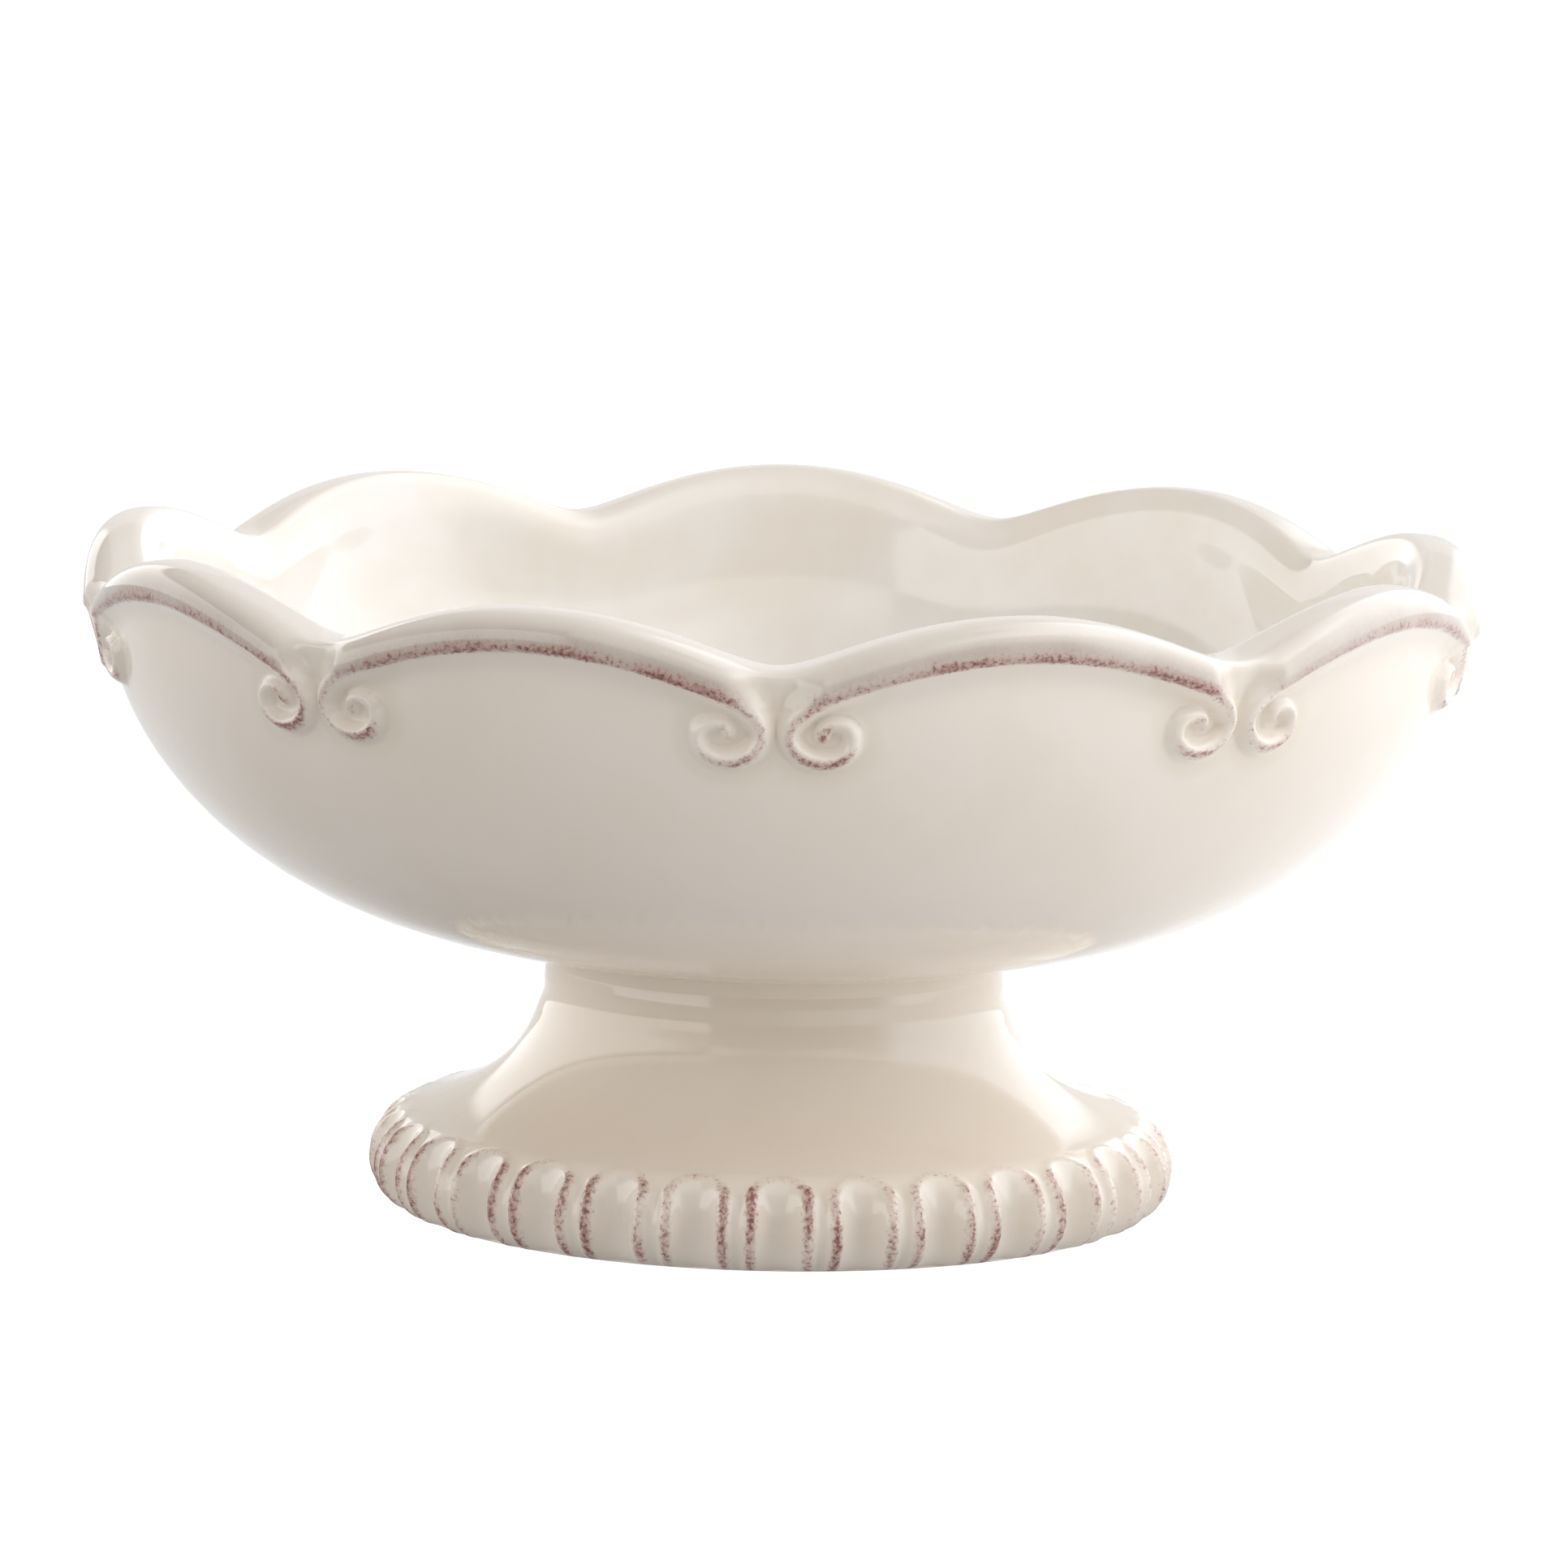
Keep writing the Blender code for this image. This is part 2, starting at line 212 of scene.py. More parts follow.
class Sector:
    # grid fields of one sector: way runs -1 to 1 across it, row counts up the section
    def __init__(self, tree, entry, columns, rows, sectors):
        self.tree = tree
        self.entry = entry
        self.rows = rows
        self.sectors = sectors
        grid = addNode(tree, "GeometryNodeMeshGrid", {
            "Size X": 2.0, "Size Y": 1.0, "Vertices X": columns + 1, "Vertices Y": rows,
        })
        self.mesh = grid.outputs["Mesh"]
        self.way, upwards, _ = separated(tree, positionField(tree))
        self.row = ((upwards + 0.5) * (rows - 1)).calc("ROUND")

    def guide(self, field, kind="FLOAT", section=0):
        # this row's value of a field on the section guides
        node = addNode(self.tree, "GeometryNodeSampleIndex", {
            "Geometry": self.entry.outputs["guides"], "Value": field,
            "Index": self.row + self.rows * section,
        }, data_type=kind)
        return Wire(self.tree, node.outputs[0])

    def guidePlace(self, field, section=0):
        radius, _, height = separated(self.tree, self.guide(field, "FLOAT_VECTOR", section))
        return radius, height

    def keep(self, name, value):
        # stores a float that the glaze reads
        node = addNode(self.tree, "GeometryNodeStoreNamedAttribute", {
            "Geometry": self.mesh, "Name": name, "Value": value,
        }, data_type="FLOAT", domain="POINT")
        self.mesh = node.outputs["Geometry"]

    def finish(self, leave, angle, radius, height):
        tree = self.tree
        spot = combined(tree, radius * angle.calc("SINE"), -(radius * angle.calc("COSINE")), height)
        shaped = addNode(tree, "GeometryNodeSetPosition", {"Geometry": self.mesh, "Position": spot})
        index = Wire(tree, addNode(tree, "GeometryNodeInputIndex").outputs[0])
        copies = addNode(tree, "GeometryNodeInstanceOnPoints", {
            "Points": addNode(tree, "GeometryNodePoints", {"Count": self.sectors}).outputs[0],
            "Instance": shaped.outputs[0],
            "Rotation": combined(tree, z=index * (2 * math.pi / self.sectors)),
        })
        real = addNode(tree, "GeometryNodeRealizeInstances", {"Geometry": copies.outputs[0]})
        closed = addNode(tree, "GeometryNodeMergeByDistance", {
            "Geometry": real.outputs[0], "Distance": surface["mergeDistance"],
        })
        noise = addNode(tree, "ShaderNodeTexNoise", {
            "Scale": surface["swayScale"], "Detail": 1.0,
        }, noise_dimensions="3D")
        _, _, level = separated(tree, positionField(tree))
        sway = (Wire(tree, noise.outputs[0]) - 0.5) * surface["sway"]
        push = addNode(tree, "ShaderNodeVectorMath", {
            0: addNode(tree, "GeometryNodeInputNormal").outputs[0],
            "Scale": sway * level.ramp(*surface["swayStart"]),
        }, operation="SCALE")
        uneven = addNode(tree, "GeometryNodeSetPosition", {
            "Geometry": closed.outputs[0], "Offset": push.outputs[0],
        })
        smooth = addNode(tree, "GeometryNodeSetShadeSmooth", {"Geometry": uneven.outputs[0]})
        glazed = addNode(tree, "GeometryNodeSetMaterial", {
            "Geometry": smooth.outputs[0], "Material": self.entry.outputs["glaze"],
        })
        tree.links.new(glazed.outputs[0], leave.inputs[0])


def sweptPiece(name, guides, tree, sizes, material):
    guideObject = bpy.data.objects.new(name + "Guides", guides)
    bpy.context.scene.collection.objects.link(guideObject)
    modifier = guideObject.modifiers.new("sweep", "NODES")
    modifier.node_group = tree
    values = {**sizes, "glaze": material}
    for item in tree.interface.items_tree:
        if item.in_out == "INPUT" and item.name in values:
            modifier[item.identifier] = values[item.name]
    bpy.context.view_layer.update()
    evaluated = guideObject.evaluated_get(bpy.context.evaluated_depsgraph_get())
    mesh = bpy.data.meshes.new_from_object(evaluated)
    bpy.data.objects.remove(guideObject)
    mesh.name = name
    piece = bpy.data.objects.new(name, mesh)
    bpy.context.scene.collection.objects.link(piece)
    print(name, "has", len(mesh.vertices), "points and", len(mesh.polygons), "faces")
    return piece


# Glaze: ivory, glossy, with a brown oxide rubbed onto the relief and mostly wiped off again

glaze = {
    "ivory": (0.87, 0.787, 0.698, 1.0),
    "paintedLitInside": (0.89, 0.845, 0.785, 1.0),  # whiter inside the bowl: painted light for the brightly lit inside
    "pooled": (0.835, 0.745, 0.635, 1.0),
    # painted shade: the grey that darkens the rim's band towards its arris
    "paintedShade": (0.53, 0.45, 0.39, 1.0),
    "wash": (0.56, 0.37, 0.315, 1.0),
    "specks": (0.22, 0.068, 0.06, 1.0),
    "bareClay": (0.66, 0.55, 0.43, 1.0),
    "gloss": 0.05,
    "speckRoughness": 0.12,
    "bareRoughness": 0.6,
    "indexOfRefraction": 1.52,
    "speckSize": 0.5 * mm,
    "patchSize": 9.0 * mm,
    "driftSize": 14.0 * mm,
    "rippleSize": 2.2 * mm,
    "drift": (0.35, 0.7, 0.0, 0.55),
    "recessPooling": 0.6,
    "rippleShares": (0.8, 0.2),  # of the slow drift and of the fine noise
    "rippleStrength": 0.12,
    "rippleHeight": 0.25 * mm,
}
staining = {
    "patches": (0.32, 0.64, 0.6, 1.12),  # how much the wiping left, from patch to patch
    "paintedLitSide": (0.4, 0.95, 1.06, 0.8),  # and less of it on the right, where the light falls strongest: painted lightening
    "speckShare": 0.3,  # how far the rubbed oxide, over the grain, decides
    "specks": (0.68, 0.98, 0.0, 0.95),
    "specksStart": (0.05, 0.4),
    "washShare": 0.9,
    "wash": (0.15, 1.1),
    "washStart": (0.0, 0.2),
    # painted shade on the rim's band, made patchy and grainy
    "paintedShadePatches": (0.3, 0.7, 0.8, 1.05),
    "paintedShadeBase": 0.8,
    "paintedShadeGrain": 0.4,
}


def noiseAt(tree, spot, size, detail, roughness=0.55):
    node = addNode(tree, "ShaderNodeTexNoise", {
        "Vector": spot, "Scale": size ** -1, "Detail": detail, "Roughness": roughness,
    })
    return Wire(tree, node.outputs[0])


def rubbedStainAndPaintedLightGroup():
    # what is left of the oxide: a thin wash, and specks where more was rubbed on; and a grey
    # painted shade on the rim's band, darkest towards its arris
    numbers = ("rubbed", "paintedShadeAmount", "speckSize", "patchSize")
    tree, entry, leave = newTree("rubbedStainAndPaintedLight", "ShaderNodeTree", {
        "place": "NodeSocketVector", **dict.fromkeys(numbers, "NodeSocketFloat"),
    }, dict.fromkeys(("paintedShade", "wash", "specks"), "NodeSocketFloat"))
    spot = entry.outputs["place"]
    rubbed, paintedShadeAmount, speckSize, patchSize = [Wire(tree, entry.outputs[name]) for name in numbers]
    grain = noiseAt(tree, spot, speckSize, 3.0, 0.68)
    patch = noiseAt(tree, spot, patchSize, 2.0, 0.5)
    x, y, _ = separated(tree, spot)
    # patchy wiping, and the oxide thinned towards the brightly lit right side as painted lightening
    wipedAndLitSide = patch.ramp(*staining["patches"]) * (x / x.length(y)).ramp(*staining["paintedLitSide"])
    left = rubbed * wipedAndLitSide
    specks = (left * staining["speckShare"] + grain).ramp(*staining["specks"])
    wash = (left * staining["washShare"] + (grain - 0.5)).ramp(*staining["wash"])
    # painted shade on the rim's band, patchy and grainy
    paintedShade = paintedShadeAmount * patch.ramp(*staining["paintedShadePatches"])
    grainy = staining["paintedShadeBase"] + grain * staining["paintedShadeGrain"]
    feed(tree, leave.inputs["paintedShade"], paintedShade * grainy)
    feed(tree, leave.inputs["wash"], wash * left.ramp(*staining["washStart"]))
    feed(tree, leave.inputs["specks"], specks * left.ramp(*staining["specksStart"]))
    return tree


def glazeToneGroup():
    # slow drift between thin and pooled glaze, and a faint unevenness of the surface
    tree, entry, leave = newTree("glazeTone", "ShaderNodeTree", {
        "place": "NodeSocketVector", "recess": "NodeSocketFloat",
    }, {"pooled": "NodeSocketFloat", "ripple": "NodeSocketFloat"})
    spot = entry.outputs["place"]
    drift = noiseAt(tree, spot, glaze["driftSize"], 3.0)
    fine = noiseAt(tree, spot, glaze["rippleSize"], 2.0)
    recess = Wire(tree, entry.outputs["recess"])
    pooled = drift.ramp(*glaze["drift"]) + recess * glaze["recessPooling"]
    feed(tree, leave.inputs["pooled"], pooled.calc("MINIMUM", 1.0))
    slowShare, fineShare = glaze["rippleShares"]
    feed(tree, leave.inputs["ripple"], drift * slowShare + fine * fineShare)
    return tree


stainAndPaintedLightGroup = rubbedStainAndPaintedLightGroup()
toneGroup = glazeToneGroup()


def mixColour(tree, share, first, second):
    node = addNode(tree, "ShaderNodeMix", data_type="RGBA")
    feed(tree, node.inputs["Factor"], share)
    feed(tree, node.inputs[6], first)
    feed(tree, node.inputs[7], second)
    return node.outputs[2]


def attribute(tree, name):
    return Wire(tree, addNode(tree, "ShaderNodeAttribute", attribute_name=name).outputs["Fac"])


def glazeMaterial(name):
    made = bpy.data.materials.new(name)
    made.use_nodes = True
    tree = made.node_tree
    shader = tree.nodes["Principled BSDF"]
    spot = addNode(tree, "ShaderNodeTexCoord").outputs["Object"]
    stainAndPaintedLight = addNode(tree, "ShaderNodeGroup", node_tree=stainAndPaintedLightGroup)
    tone = addNode(tree, "ShaderNodeGroup", node_tree=toneGroup)
    for group in (stainAndPaintedLight, tone):
        feed(tree, group.inputs["place"], spot)
    for key in ("rubbed", "paintedShadeAmount"):
        feed(tree, stainAndPaintedLight.inputs[key], attribute(tree, key))
    for key in ("speckSize", "patchSize"):
        feed(tree, stainAndPaintedLight.inputs[key], glaze[key])
    feed(tree, tone.inputs["recess"], attribute(tree, "recess"))
    bare = attribute(tree, "bare")
    # painted light: the inside of the bowl gets a whiter colour for its bright lighting
    colour = mixColour(tree, attribute(tree, "paintedLitInside"), glaze["ivory"], glaze["paintedLitInside"])
    colour = mixColour(tree, tone.outputs["pooled"], colour, glaze["pooled"])
    # layers: painted shade on the rim's band, then the oxide's wash and specks
    for layer in ("paintedShade", "wash", "specks"):
        colour = mixColour(tree, stainAndPaintedLight.outputs[layer], colour, glaze[layer])
    feed(tree, shader.inputs["Base Color"], mixColour(tree, bare, colour, glaze["bareClay"]))
    specked = Wire(tree, stainAndPaintedLight.outputs["specks"]) * glaze["speckRoughness"]
    rough = bare * glaze["bareRoughness"] + specked + glaze["gloss"]
    feed(tree, shader.inputs["Roughness"], rough)
    rippled = addNode(tree, "ShaderNodeBump", {
        "Strength": glaze["rippleStrength"], "Distance": glaze["rippleHeight"],
        "Height": tone.outputs["ripple"],
    })
    feed(tree, shader.inputs["Normal"], rippled.outputs[0])
    shader.inputs["IOR"].default_value = glaze["indexOfRefraction"]
    return made


bowlGlaze = glazeMaterial("bowlGlaze")
footGlaze = glazeMaterial("footGlaze")
seamGlaze = glazeMaterial("seamGlaze")
print("glazes mixed")


# Bowl: flat-bottomed shell, lobed rim with a convex band, C-scrolls at every cusp

bowl = {
    "lobes": 9,
    "columns": 100,  # to each lobe
    "crowding": 0.4,  # column spacing at a cusp, as a share of even spacing
    "cuspRounding": 0.17,
    "grooveTop": 2.0 * mm,
    "grooveWidth": 0.85 * mm,
    "wallRadius": 73.9 * mm,
    "cuspHeight": 68.7 * mm,
    "voluteAlong": 5.5 * mm,
    "voluteDown": 7.2 * mm,
    "voluteStart": 3.35 * mm,
    "voluteEnd": 0.6 * mm,
    "voluteTurns": 0.95,
    "voluteStretch": 1.24,
    "stemAlong": 9.2 * mm,
    "stemDown": 1.6 * mm,
    "beadHalfWidth": 1.65 * mm,
    "beadHeight": 1.5 * mm,
    "eyeHeight": 1.2 * mm,
}
shell = {
    "brim": 66.8 * mm,
    "outer": (73.9 * mm, 39.3 * mm),
    "inner": (67.9 * mm, 33.0 * mm),
    "widthPower": 3.0,
    "depthPower": 1.8,
    "crestRadius": 71.0 * mm,
    "cuspDrop": 7.5 * mm,
    "cuspPinch": 2.4 * mm,
    "innerPinch": 0.6,  # share of the pinch that the inner wall follows
    "bandDepth": 3.9 * mm,
    "bandFullness": 0.7,  # 1 is a quarter ellipse, less is squarer
    "coveDepth": 4.2 * mm,  # from the arris of the band down to the plain wall
    "cove": ((0.15, 0.56), (0.52, 0.24)),  # shares outwards, and of the depth still to rise
    "lipDepth": 7.0 * mm,  # inner half of the rim
    "levelTop": 50.0 * mm,  # rows are level below this height and follow the rim above it
    "bossRadius": 18.4 * mm,
    "seatRadius": 24.9 * mm,
    "topRoom": 0.08 * mm,  # left inside the solid's box for the sway
    "sideRoom": 0.2 * mm,
}
bowlRows = {"under": 12, "wall": 34, "cove": 5, "band": 16, "lip": 12, "inside": 18}
bandCrowding = 1.4  # rows gather at the crest of the band
floorCrowding = 1.6  # and at the floor inside
rimTop = bowlBox[1].z - shell["topRoom"]
arrisRadius = min(bowlBox[1].x, bowlBox[1].y) - shell["sideRoom"]


def shellRadius(size, height):
    drop = min(max(0.0, shell["brim"] - height) / size[1], 1.0)
    return size[0] * (1 - drop ** shell["depthPower"]) ** (1 / shell["widthPower"])


def shellHeight(size, radius):
    fullness = (1 - (radius / size[0]) ** shell["widthPower"]) ** (1 / shell["depthPower"])
    return shell["brim"] - size[1] * fullness


def standout(point, travel):
    # how far a section point of the rim stands outside the plain wall of the bowl
    if point.z < shell["levelTop"]:
        return 0.0
    return point.x - shellRadius(shell["outer"], point.z)


def quarterTurns(count):
    # even steps from 0 up to a quarter turn, without the last
    return [i / count * math.pi / 2 for i in range(count)]


def bowlSection(drop, pinch):
    # from the middle underneath, up the outside, over the rim and down to the middle inside
    outer, inner = shell["outer"], shell["inner"]
    bottom = bowlBox[0].z
    boss, seat, levelTop = shell["bossRadius"], shell["seatRadius"], shell["levelTop"]
    points = [place(share * boss, bottom) for share in (0, 0.6, 1)]
    points.append(place(boss, shellHeight(outer, seat)))
    for turn in quarterTurns(bowlRows["under"]):
        radius = seat + (shellRadius(outer, levelTop) - seat) * math.sin(turn)
        points.append(place(radius, shellHeight(outer, radius)))

    rim = rimTop - drop
    crest = shell["crestRadius"] - pinch
    arrisHeight = rim - shell["bandDepth"]
    wallTop = arrisHeight - shell["coveDepth"]
    for i in range(bowlRows["wall"]):
        height = levelTop + (wallTop - levelTop) * i / bowlRows["wall"]
        points.append(place(shellRadius(outer, height), height))
    wall = shellRadius(outer, wallTop)
    cove = [
        place(wall + out * (arrisRadius - wall), arrisHeight - left * shell["coveDepth"])
        for out, left in ((0, 1), *shell["cove"], (1, 0))
    ]
    points += throughPoints(cove, bowlRows["cove"])

    full = shell["bandFullness"]
    for i in range(bowlRows["band"]):
        turn = (1 - i / bowlRows["band"]) ** bandCrowding * math.pi / 2
        across = math.sin(turn) ** full * (arrisRadius - crest)
        fall = shell["bandDepth"] * (1 - math.cos(turn) ** full)
        points.append(place(crest + across, rim - fall))

    innerTop = rim - shell["lipDepth"]
    innerPinch = shell["innerPinch"] * pinch
    across = crest - (shellRadius(inner, innerTop) - innerPinch)
    for turn in quarterTurns(bowlRows["lip"]):
        fall = shell["lipDepth"] * (1 - math.cos(turn))
        points.append(place(crest - across * math.sin(turn), rim - fall))
    floor = shellHeight(inner, 0)
    for turn in [*quarterTurns(bowlRows["inside"])[1:], math.pi / 2]:
        share = (1 - math.sin(turn)) ** floorCrowding
        height = floor + (innerTop - floor) * share
        points.append(place(shellRadius(inner, height) - innerPinch * share**3, height))
    points[-1].x = 0
    return points


# The C-scroll: a stem that leaves the band, where travel runs from -1 to 0, and a volute, where
# it runs on to 1

scroll = {
    "stemSteps": 32,
    "voluteSteps": 96,
    "stemLean": 0.61,  # first handle of the stem: share of its reach, and depth below its start
    "stemFall": 1.1 * mm,
    "stemPlunge": 2.8 * mm,  # second handle, straight above its end
    "beadStart": (-1.0, -0.75),
    "stemSwell": (-0.6, 0.0, 1.25, 1.0),
    "stemWidth": (-0.75, 0.1, 1.55, 1.0),
    "eyeWidth": (0.0, 1.0, 1.0, 0.72),
    "bandStart": (0.42, 0.7),  # share of the band's depth where the bead starts to rise
    "blend": 0.9 * mm,
    "beadEdge": 0.5 * mm,
    "grooveFall": (1.5 * mm, 4.0 * mm),  # depth below the cusp where the groove narrows
    "grooveStart": (1.5 * mm, 2.5 * mm),
    "grooveEdge": (0.4, 1.5, 1.0, 0.0),  # in widths of the groove
    "bandEnd": (1.0 * mm, 5.0 * mm, 0.1, 1.0),  # from the cusp line, where the band dies out
}
bowlStain = {
    "band": (0.42, 1.0),  # in shares of the band's depth
    "bandEnd": (1.06, 1.2, 1.0, 0.0),
    "bandGap": (2.0 * mm, 5.0 * mm, 0.1, 1.0),  # from the cusp line
    "beadSide": 0.35 * mm,  # the lower side of a bead
    "beadReach": 0.95 * mm,
    "stem": (-0.95, -0.5, 0.4, 1.0),
    "curlEnd": (0.5, 0.72, 1.0, 0.08),
    "eye": (0.82, 0.95, 0.0, 0.85),
    # painted shade down the rim's band, less of it near the cusps
    "paintedShade": (0.0, 0.8, 0.08, 0.95),
    "paintedShadeEnd": (1.0, 1.15, 1.0, 0.0),
    "paintedShadeGap": (1.0 * mm, 7.0 * mm, 0.15, 1.0),
    "poolOffset": 2.0 * mm,  # glaze pools beside a bead and round the seat
    "poolReach": 1.4 * mm,
    "seatPool": (25.0 * mm, 36.0 * mm, 1.0, 0.0),
    "paintedLitInsideRows": 10.0,  # from the crest inwards, until the painted lightening of the inside is at its whitest
}


def scrollGuide(tree, size):
    # laid flat: x is the distance from the cusp line, y the depth below the cusp
    start = size("voluteAlong") - size("voluteStretch") * size("voluteStart")
    stem = addNode(tree, "GeometryNodeCurvePrimitiveBezierSegment", {
        "Resolution": scroll["stemSteps"],
        "Start": combined(tree, size("stemAlong"), size("stemDown")),
        "Start Handle": combined(
            tree, size("stemAlong") * scroll["stemLean"], size("stemDown") + scroll["stemFall"],
        ),
        "End Handle": combined(tree, start, size("voluteDown") - scroll["stemPlunge"]),
        "End": combined(tree, start, size("voluteDown")),
    })
    spiral = addNode(tree, "GeometryNodeCurveSpiral", {
        "Resolution": scroll["voluteSteps"], "Rotations": size("voluteTurns"),
        "Start Radius": size("voluteStart"), "End Radius": size("voluteEnd"), "Height": 0.0,
    })
    flatX, flatY, _ = separated(tree, positionField(tree))
    volute = addNode(tree, "GeometryNodeSetPosition", {
        "Geometry": spiral.outputs[0],
        "Position": combined(
            tree, size("voluteAlong") - size("voluteStretch") * flatX, size("voluteDown") - flatY,
        ),
    })
    share = Wire(tree, addNode(tree, "GeometryNodeSplineParameter").outputs["Factor"])
    joined = addNode(tree, "GeometryNodeJoinGeometry")
    for curve, travel in ((stem, share - 1.0), (volute, share)):
        marked = addNode(tree, "GeometryNodeStoreNamedAttribute", {
            "Geometry": curve.outputs[0], "Name": "travel", "Value": travel,
        }, data_type="FLOAT", domain="POINT")
        tree.links.new(marked.outputs[0], joined.inputs[0])
    return addNode(tree, "GeometryNodeCurveToMesh", {"Curve": joined.outputs[0]}).outputs[0]


def bowlTree(rows, crestRow):
    tree, entry, leave, size = sweepTree("scallopedBowl", bowl)
    sector = Sector(tree, entry, size("columns"), rows, bowl["lobes"])
    share = sector.way * (size("crowding") + (1.0 - size("crowding")) * sector.way.squared())
    angle = share * math.pi / size("lobes")
    along = angle.calc("ABSOLUTE") * size("wallRadius")
    rounding = size("cuspRounding")
    cusp = (1.0 - share.length(rounding) / (rounding.squared() + 1.0).calc("SQRT")).squared()

    # each row lies between the section of a lobe and the section of a cusp
    position = positionField(tree)
    stand = storedField(tree, "measured")
    (r0, z0), (r1, z1) = [sector.guidePlace(position, section=i) for i in range(2)]
    s0, s1 = [sector.guide(stand, section=i) for i in range(2)]
    radius = r0 + cusp * (r1 - r0)
    height = z0 + cusp * (z1 - z0)
    moulding = (s0 + cusp * (s1 - s0)).positive()
    outside = sector.row.calc("LESS_THAN", crestRow)
    down = size("cuspHeight") - height
    depth = (rimTop - cusp * shell["cuspDrop"] - height) / shell["bandDepth"]

    guide = scrollGuide(tree, size)
    spot = combined(tree, along, down)
    near = addNode(tree, "GeometryNodeProximity", {
        0: guide, "Sample Position": spot,
    }, target_element="EDGES")
    nearest = addNode(tree, "GeometryNodeSampleNearest", {
        "Geometry": guide, "Sample Position": spot,
    })
    travel = Wire(tree, addNode(tree, "GeometryNodeSampleIndex", {
        "Geometry": guide, "Value": storedField(tree, "travel"), "Index": nearest.outputs[0],
    }, data_type="FLOAT").outputs[0])
    distance = Wire(tree, near.outputs["Distance"])
    beadHeight = travel.ramp(0.0, 1.0, size("beadHeight"), size("eyeHeight"))
    beadHeight = beadHeight * travel.ramp(*scroll["beadStart"]) * travel.ramp(*scroll["stemSwell"])
    beadWidth = size("beadHalfWidth") * travel.ramp(*scroll["stemWidth"])
    bead = distance.bump(beadWidth * travel.ramp(*scroll["eyeWidth"])) * beadHeight

    # a groove parts the two scrolls, and the bead rises out of what is left of the band
    groove = down.ramp(*scroll["grooveFall"], size("grooveTop"), size("grooveWidth"))
    carve = (along / groove).ramp(*scroll["grooveEdge"]) * down.ramp(*scroll["grooveStart"])
    kept = moulding * (1.0 - carve) * along.ramp(*scroll["bandEnd"])
    rising = (bead - kept).calc("SMOOTH_MAX", 0.0, scroll["blend"])
    rising = rising * bead.ramp(0.0, scroll["beadEdge"]) * depth.ramp(*scroll["bandStart"])
    lift = (kept - moulding + rising) * outside

    # oxide stays on the arris of the band and on the lower side of each bead
    band = depth.ramp(*bowlStain["band"]).squared() * depth.ramp(*bowlStain["bandEnd"])
    band = band * along.ramp(*bowlStain["bandGap"])
    nearAlong, nearDown, _ = separated(tree, near.outputs["Position"])
    aside = (along - nearAlong).length(down - nearDown - bowlStain["beadSide"])
    curl = travel.ramp(*bowlStain["stem"]) * travel.ramp(*bowlStain["curlEnd"])
    beadStain = aside.bump(bowlStain["beadReach"]) * (curl + travel.ramp(*bowlStain["eye"]))
    # a grey painted shade darkens the band from its crest down to its arris, where the band turns
    # forward and down
    paintedShade = depth.ramp(*bowlStain["paintedShade"]) * depth.ramp(*bowlStain["paintedShadeEnd"])
    pool = (distance - bowlStain["poolOffset"]).bump(bowlStain["poolReach"])
    sector.keep("rubbed", band.calc("MAXIMUM", beadStain) * outside)
    sector.keep("paintedShadeAmount", paintedShade * along.ramp(*bowlStain["paintedShadeGap"]) * outside)
    sector.keep("recess", pool.calc("MAXIMUM", radius.ramp(*bowlStain["seatPool"])) * outside)
    # painted light: whiter from the crest inwards over the inside
    sector.keep("paintedLitInside", sector.row.ramp(crestRow, crestRow + bowlStain["paintedLitInsideRows"]))
    sector.finish(leave, angle, radius + lift, height)
    return tree


def makeBowl():
    sections = [
        bowlSection(0.0, 0.0),
        bowlSection(shell["cuspDrop"], shell["cuspPinch"]),
    ]
    crestRow = max(range(len(sections[0])), key=lambda i: sections[0][i].z)
    tree = bowlTree(len(sections[0]), crestRow)
    guides = guideMesh("bowlGuides", sections, standout)
    return sweptPiece("bowlBody", guides, tree, bowl, bowlGlaze)


bowlPiece = makeBowl()


# Foot: hollow pedestal with a roll at its base, cut by arched niches in raised frames

foot = {
    "flutes": 30,
    "columns": 24,  # to each flute
    "turn": math.radians(1.75),
    "nicheHalfWidth": 2.42 * mm,
    "nicheDepth": 2.4 * mm,
    "spring": 10.05 * mm,  # along the roll from the base edge
    "frameHeight": 0.28 * mm,
    "frameHalfWidth": 0.78 * mm,
    "frameOffset": 0.6 * mm,
    "channelDepth": 0.5 * mm,
}
niche = {
    "floorFoot": (0.0, 5.5 * mm, 0.35, 1.0),  # the floor is straighter than the roll
    "floorTop": (6.5 * mm, 12.0 * mm, 1.0, 0.4),  # and leans back
    "baseEdge": (0.0, 0.8 * mm),
    "straightCut": (2.0 * mm, 7.0 * mm),  # towards the base edge it is cut straight in
    "frameArch": (0.0, 2.6 * mm, 1.0, 0.5),  # above the spring
    "frameTop": (1.0 * mm, 2.2 * mm, 1.0, 0.0),  # above the crown
    "channelEdge": (1.1 * mm, 1.9 * mm),  # outside the edge of the niche
    "channelTop": (-3.2 * mm, 0.8 * mm, 1.0, 0.0),  # above the crown
    "stainReach": 1.15 * mm,
    "stainArch": (0.9 * mm, 2.3 * mm, 1.0, 0.42),  # above the spring
    "channelPool": 0.4,
    "slopePool": (0.0, 3.0 * mm),  # above the crown
    "restingHeight": 0.02 * mm,
}
